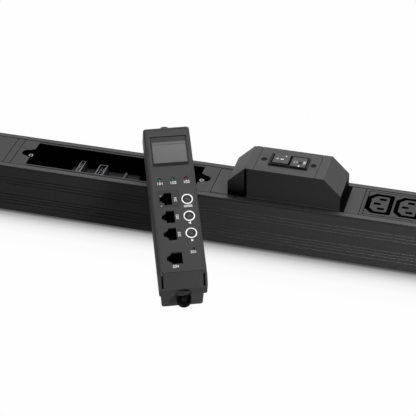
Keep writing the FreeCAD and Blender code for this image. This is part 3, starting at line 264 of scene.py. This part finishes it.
moulded = {"rough": 0.5, "grain": 2200, "mottle": 0.12, "bump": 0.2, "shine": 0.3}
smallMoulded = {"rough": 0.4, "grain": 1800, "mottle": 0.1, "bump": 0.1}
bareMetal = {"rough": 0.3, "grain": 900, "mottle": 0.05, "bump": 0.05, "metal": 1}
screwFinish = {"rough": 0.4, "grain": 1200, "mottle": 0.1, "bump": 0.1}
lensFinish = {"rough": 0.35, "grain": 700, "mottle": 0.1, "bump": 0.05}
ink = {"rough": 0.6, "grain": 2500, "mottle": 0.1, "bump": 0.0}
looks = {
    "rail_aluminium": {**moulded, "colour": (0.030, 0.030, 0.031), "rough": 0.48, "grain": 2500,
                       "boxes": [channelPaintedShade, groovePaintedLight, lipPaintedLight, edgePaintedShade, backEdgePaintedShade]},
    "bay_plastic": {**moulded, "colour": (0.030, 0.030, 0.031), "rough": 0.52, "bump": 0.25,
                    "boxes": [platePaintedShade, rimPaintedShade, *seamPaintedShades]},
    "outlet_plastic": {**moulded, "colour": (0.022, 0.022, 0.023),
                       "boxes": [platePaintedShade, rimPaintedShade, sideSlotPaintedShade, middleSlotPaintedShade, *seamPaintedShades]},
    "housing_plastic": {**moulded, "colour": (0.035, 0.035, 0.036), "bump": 0.25,
                        "boxes": [humpEndBox, humpGroovePaintedShade, humpFacePaintedShade, humpWallPaintedShade, insertPaintedShade, rimPaintedShade,
                                  *seamPaintedShades]},
    "moulding_plastic": {**moulded, "colour": (0.032, 0.032, 0.033)},
    "carrier_plastic": {**moulded, "colour": (0.038, 0.038, 0.039), "grain": 2000, "mottle": 0.1},
    "cap_plastic": {**moulded, "colour": (0.02, 0.02, 0.021), "rough": 0.55, "grain": 1800, "mottle": 0.1},
    "module_plastic": {**moulded, "colour": (0.026, 0.026, 0.027), "rough": 0.48, "boxes": [slopePaintedLight]},
    "module_rear_plastic": {**moulded, "colour": (0.065, 0.065, 0.066), "rough": 0.48, "boxes": [earPaintedShade]},
    "header_plastic": {**smallMoulded, "colour": (0.03, 0.03, 0.032), "shine": 0.5, "boxes": [headerPaintedLight]},
    # near-black bezel, darkened further as painted shade for the shadow lines round the rocker
    "breaker_plastic": {**smallMoulded, "colour": (0.006, 0.006, 0.006), "shine": 0.15},
    "rocker_plastic": {**smallMoulded, "colour": (0.03, 0.03, 0.031), "shine": 0.4, "boxes": [rockerStepPaintedShade]},
    "display_plastic": {**smallMoulded, "colour": (0.014, 0.014, 0.015), "mottle": 0.08, "shine": 0.3,
                        "boxes": [displayBarPaintedShade]},
    "jack_plastic": {**smallMoulded, "colour": (0.018, 0.018, 0.018), "rough": 0.45, "shine": 0.3,
                     "boxes": [jackPaintedShade]},
    "key_plastic": {**smallMoulded, "colour": (0.03, 0.03, 0.031), "rough": 0.45, "shine": 0.3},
    "switch_plastic": {**smallMoulded, "colour": (0.03, 0.03, 0.03), "rough": 0.5, "grain": 1500},
    "ring_plastic": {**smallMoulded, "colour": (0.75, 0.75, 0.75), "rough": 0.5, "grain": 1500,
                     "mottle": 0.04, "bump": 0.05},
    "tray_plastic": {"colour": (0.005, 0.005, 0.005), "rough": 0.6, "grain": 900, "mottle": 0.05,
                     "bump": 0.1, "shine": 0.05},
    "board_plastic": {"colour": (0.02, 0.12, 0.06), "rough": 0.4, "grain": 900, "mottle": 0.15,
                      "bump": 0.05},
    "panel_plastic": {"colour": (0.15, 0.155, 0.155), "rough": 0.4, "grain": 900, "mottle": 0.03,
                      "bump": 0.02},
    "window_plastic": {"colour": (0.2, 0.19, 0.18), "rough": 0.3, "grain": 900, "mottle": 0.05, "bump": 0.0},
    "green_lens": {**lensFinish, "colour": (0.03, 0.13, 0.11)},
    "red_lens": {**lensFinish, "colour": (0.17, 0.035, 0.03)},
    "black_screw": {**screwFinish, "colour": (0.005, 0.005, 0.005), "shine": 0.1},
    "dark_screw": {**screwFinish, "colour": (0.12, 0.12, 0.12), "metal": 0.8},
    "captive_steel": {**bareMetal, "colour": (0.006, 0.006, 0.006), "rough": 0.22, "metal": 0},  # blacked
    "nut_steel": {**bareMetal, "colour": (0.4, 0.4, 0.41)},
    "contact_metal": {**bareMetal, "colour": (0.55, 0.52, 0.45)},
    "pin_metal": {**bareMetal, "colour": (0.6, 0.62, 0.66)},
    # painted shade: the outlet contacts deep in the slots darkened almost to black
    "contact_metal_painted_shade": {**bareMetal, "colour": (0.02, 0.019, 0.018), "rough": 0.5},
    # painted shade: a darkened contact metal for the contacts inside the jacks
    "shade_metal": {**bareMetal, "colour": (0.12, 0.11, 0.09), "rough": 0.4},
    "copper_bar": {**bareMetal, "colour": (0.62, 0.34, 0.2), "rough": 0.35, "mottle": 0.1},
    "printed_white": {**ink, "colour": (0.8, 0.8, 0.8)},
    "printed_grey": {**ink, "colour": (0.3, 0.3, 0.3)},
    "printed_black": {**ink, "colour": (0.003, 0.003, 0.003), "shine": 0.1},
}
glass = {
    "low": 0.1028, "high": 0.1229,  # metres up the face
    "stops": [(0.0, 0.066), (0.84, 0.08), (0.86, 0.035), (0.89, 0.035), (0.91, 0.07), (1.0, 0.07)],
    "rough": 0.35,
}
finishes = {name: grainedFinish(name, look) for name, look in looks.items()}
finishes["display_glass"] = glassFinish("display_glass", glass)

# Nodes whose finish isn't the one that the record names
ownFinish = {
    "left_cover": "bay_plastic", "divider_strip": "bay_plastic", "bay_frame": "bay_plastic",
    "middle_cover": "bay_plastic", "outlet_strip": "outlet_plastic", "bay_nuts": "nut_steel",
    # the jack and outlet contacts get darkened metals as painted shade
    "header_pins": "pin_metal", "jack_contacts": "shade_metal", "outlet_contacts": "contact_metal_painted_shade",
    "captive_screws": "captive_steel", "breaker_screws": "black_screw",
}
for part in frame["record"]["subparts"]:
    surface = frame["nodes"][part["node"]].data.materials
    surface.clear()
    surface.append(finishes[ownFinish.get(part["node"], part["material_slot"])])
print("stage: materials on CAD nodes")


# The piece's place goes into its mesh, and it rides on its body
def settle(piece, finish, body):
    deselect()
    piece.select_set(True)
    bpy.context.view_layer.objects.active = piece
    bpy.ops.object.transform_apply(location=True, rotation=True, scale=True)
    piece.data.materials.clear()
    piece.data.materials.append(finishes[finish])
    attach(piece, body)


def printed(name, text, place, turn, size, thick=0.01):  # millimetres, as in the next three
    deselect()
    bpy.ops.object.text_add(location=place, rotation=turn)
    piece = bpy.context.object
    piece.name = name
    piece.data.body = text
    piece.data.size = size * mm
    piece.data.extrude = thick * mm
    piece.data.align_x = "CENTER"
    piece.data.align_y = "CENTER"
    bpy.ops.object.convert(target="MESH")
    settle(bpy.context.object, "printed_white", "unit")


def block(name, place, turn, size, finish, body="unit"):
    deselect()
    bpy.ops.mesh.primitive_cube_add(size=1, location=place, rotation=turn)
    piece = bpy.context.object
    piece.name = name
    piece.scale = [side * mm for side in size]
    settle(piece, finish, body)


def triangle(name, place, turn, radius, finish, thick=0.02):
    deselect()
    bpy.ops.mesh.primitive_cylinder_add(vertices=3, radius=radius * mm, depth=thick * mm,
                                        location=place, rotation=turn)
    piece = bpy.context.object
    piece.name = name
    settle(piece, finish, "unit")


def ring(name, place, turn, radius, line, finish, body="unit"):
    deselect()
    bpy.ops.mesh.primitive_torus_add(major_radius=radius * mm, minor_radius=line * mm / 2,
                                     major_segments=32, minor_segments=6, location=place, rotation=turn)
    piece = bpy.context.object
    piece.name = name
    piece.scale = (1, 1, 0.1)  # flat, as printed
    settle(piece, finish, body)


def turnedMark(degrees):
    return (faceTurn @ Matrix.Rotation(math.radians(degrees), 3, "Z")).to_euler()


# Marks on the module's face, in millimetres on the face
proud = 0.02
lightMarks = {"texts": ("101", "102", "103"), "row": 82.9, "pitch": 11.0, "size": 3.7}
jackMarks = {"texts": ("201", "202", "203"), "x": 0.2, "rows": (67.3, 50.9, 34.8), "size": 3.1}
sensorMark = {"text": "204", "x": -5.8, "y": 6.1, "size": 3.5}
keyMarks = {"x": 9.9, "menu": 60.3, "up": 44.7, "down": 28.6, "bar": (7.0, 0.35, 0.02), "barPitch": 0.75,
            "radius": 1.4}
resetMark = {"text": "301", "x": 9.8, "y": 17.9, "size": 3.5}
resetHoleShade = {"x": 10.4, "y": 21.2, "radius": 0.75, "line": 0.5}
jackLights = {"x": -11.7, "rows": (71.2, 61.9), "size": (1.3, 1.3, 0.1)}

flat = faceTurn.to_euler()
for i, text in enumerate(lightMarks["texts"]):
    place = onFace((i - 1) * lightMarks["pitch"], lightMarks["row"], proud)
    printed(f"light_mark_{i + 1}", text, place, flat, lightMarks["size"])
for i, (text, y) in enumerate(zip(jackMarks["texts"], jackMarks["rows"])):
    printed(f"jack_mark_{i + 1}", text, onFace(jackMarks["x"], y, proud), turnedMark(90), jackMarks["size"])
printed("sensor_mark", sensorMark["text"], onFace(sensorMark["x"], sensorMark["y"], proud), flat,
        sensorMark["size"])
for i in range(3):
    place = onFace(keyMarks["x"], keyMarks["menu"] + (i - 1) * keyMarks["barPitch"], proud)
    block(f"menu_mark_{i + 1}", place, flat, keyMarks["bar"], "printed_white")
for key, degrees in (("up", 90), ("down", 270)):
    triangle(key + "_mark", onFace(keyMarks["x"], keyMarks[key], proud), turnedMark(degrees),
             keyMarks["radius"], "printed_white")
# painted shade: a thin black ring round the reset hole
ring("reset_hole_shade", onFace(resetHoleShade["x"], resetHoleShade["y"], proud), flat, resetHoleShade["radius"], resetHoleShade["line"],
     "printed_black")
printed("reset_mark", resetMark["text"], onFace(resetMark["x"], resetMark["y"], proud), flat,
        resetMark["size"])
for i, y in enumerate(jackLights["rows"]):
    block(f"jack_light_{i + 1}", onFace(jackLights["x"], y), flat, jackLights["size"], "window_plastic")

# Marks on the rocker's two halves, in millimetres along the rail and across it
level = (0, 0, 0)
onHigh = 78.52
offHigh = 77.41
rockerMarks = {
    "on_mark": {"place": (23.7, -0.9, onHigh), "size": (2.8, 0.7, 0.02), "finish": "printed_white"},
    "on_square": {"place": (19.8, -0.8, onHigh), "size": (2.0, 2.0, 0.02), "finish": "printed_grey"},
    "on_dash": {"place": (26.4, 4.1, onHigh), "size": (1.4, 1.8, 0.02), "finish": "printed_grey"},
    "off_square": {"place": (39.6, -0.9, offHigh), "size": (2.4, 2.6, 0.02), "finish": "printed_black"},
    "off_dash": {"place": (39.1, -6.2, offHigh), "size": (1.4, 1.2, 0.02), "finish": "printed_white"},
    "off_block": {"place": (43.0, -0.1, offHigh), "size": (2.2, 4.4, 0.02), "finish": "printed_grey"},
}
offRing = {"place": (35.4, -0.6, offHigh), "radius": 1.5, "line": 0.6}
for name, mark in rockerMarks.items():
    block(name, Vector(mark["place"]) * mm, level, mark["size"], mark["finish"], "rocker")
ring("off_mark", Vector(offRing["place"]) * mm, level, offRing["radius"], offRing["line"], "printed_grey",
     "rocker")
print("stage: marks")

# Studio: a white floor with a soft contact shade along the rail's foot
studio = {
    "white": 0.99, "sky": 0.3, "floor": 0.3,
    "foot": (0.305, 0.0262), "reach": 0.05,  # the shade starts at the foot and fades out over the reach
    "shade": [(0.0, 0.10), (0.031, 0.22), (0.06, 0.36), (0.10, 0.42), (0.19, 0.63), (0.31, 0.81),
              (0.42, 0.90), (0.6, 0.965), (1.0, 0.99)],
    "sheen": (0.2, 0.95), "sheenSpan": (-0.02, 0.03),  # what shiny faces see of it, front to back
    "size": 30, "drop": 0.0001,
}


def emission(tree, **sources):
    node = tree.nodes.new("ShaderNodeEmission")
    for name, source in sources.items():
        tree.links.new(source, node.inputs[name])
    return node.outputs["Emission"]


def mixShaders(tree, factor, first, second):
    node = tree.nodes.new("ShaderNodeMixShader")
    for socket, source in zip(node.inputs, (factor, first, second)):
        tree.links.new(source, socket)
    return node.outputs["Shader"]


floorMaterial, tree, floorShader = newMaterial("studio_floor")
floorShader.inputs["Roughness"].default_value = 1.0
floorShader.inputs["Specular IOR Level"].default_value = 0.0
floorShader.inputs["Base Color"].default_value = (*[studio["floor"]] * 3, 1)
place = objectPlace(tree)
past = vectorCalc(tree, "SUBTRACT", vectorCalc(tree, "ABSOLUTE", place), (*studio["foot"], 1.0))
away = vectorCalc(tree, "LENGTH", vectorCalc(tree, "MAXIMUM", past, (0, 0, 0)))
shade = greyRamp(tree, remap(tree, away, (0, studio["reach"]), (0, 1)), studio["shade"])
sheen = remap(tree, splitPlace(tree, place)[1], studio["sheenSpan"], studio["sheen"])
ray = tree.nodes.new("ShaderNodeLightPath").outputs
mirrored = mixShaders(tree, ray["Is Glossy Ray"], floorShader.outputs["BSDF"],
                      emission(tree, Strength=sheen))
seen = mixShaders(tree, ray["Is Camera Ray"], mirrored, emission(tree, Color=shade))
fromBelow = tree.nodes.new("ShaderNodeNewGeometry").outputs["Backfacing"]
clear = tree.nodes.new("ShaderNodeBsdfTransparent").outputs["BSDF"]
tree.links.new(mixShaders(tree, fromBelow, seen, clear), tree.nodes["Material Output"].inputs["Surface"])
deselect()
bpy.ops.mesh.primitive_plane_add(size=studio["size"], location=(0, 0, -studio["drop"]))
floor = bpy.context.object
floor.name = "studio_floor"
floor.data.materials.append(floorMaterial)

world = bpy.data.worlds.new("studio")
bpy.context.scene.world = world
world.use_nodes = True
tree = world.node_tree
sky = tree.nodes["Background"].inputs
sky["Color"].default_value = (1, 1, 1, 1)
ray = tree.nodes.new("ShaderNodeLightPath").outputs
tree.links.new(remap(tree, ray["Is Camera Ray"], (0, 1), (studio["sky"], studio["white"])), sky["Strength"])

# Soft lamps; only the top one shows in shiny faces
lamps = {
    "top_light": {"place": (0.1, 1.0, 2.0), "target": (0, 0, 0), "size": (2.4, 1.6), "power": 54,
                  "spread": 180, "mirrored": True},
    "left_light": {"place": (-2.2, 0.4, 0.5), "target": (0, 0, 0), "size": (0.8, 0.8), "power": 40,
                   "spread": 180, "mirrored": False},
    "right_light": {"place": (1.8, 0.5, 0.9), "target": (0, 0, 0), "size": (0.8, 0.8), "power": 9,
                    "spread": 180, "mirrored": False},
    "front_light": {"place": (0.75, -0.7, 0.4), "target": (0.28, 0, 0.02), "size": (0.4, 0.3),
                    "power": 1.4, "spread": 55, "mirrored": False},
}
for name, lamp in lamps.items():
    bpy.ops.object.light_add(type="AREA", location=lamp["place"])
    softbox = bpy.context.object
    softbox.name = name
    softbox.data.shape = "RECTANGLE"
    softbox.data.size, softbox.data.size_y = lamp["size"]
    softbox.data.energy = lamp["power"]
    softbox.data.spread = math.radians(lamp["spread"])
    softbox.visible_glossy = lamp["mirrored"]
    aim = Vector(lamp["target"]) - Vector(lamp["place"])
    softbox.rotation_euler = aim.to_track_quat("-Z", "Y").to_euler()
print("stage: studio")

# Camera at the photograph's viewing angle
view = {
    "place": (0.268006, -1.071502, 0.781670),
    "right": Vector((0.96250, 0.27107, -0.01032)),
    "down": Vector((0.14516, -0.5468, -0.82457)),
    "forward": Vector((-0.22916, 0.79216, -0.56565)),
    "lens": 133.896, "sensor": 36, "near": 0.05, "far": 100,
}
turn = Matrix((view["right"], -view["down"], -view["forward"])).transposed().to_euler()
bpy.ops.object.camera_add(location=view["place"], rotation=turn)
camera = bpy.context.object
camera.data.lens = view["lens"]
camera.data.sensor_width = view["sensor"]
camera.data.clip_start = view["near"]
camera.data.clip_end = view["far"]
bpy.context.scene.camera = camera
bpy.context.scene.view_settings.view_transform = "Standard"

print("stage: done")
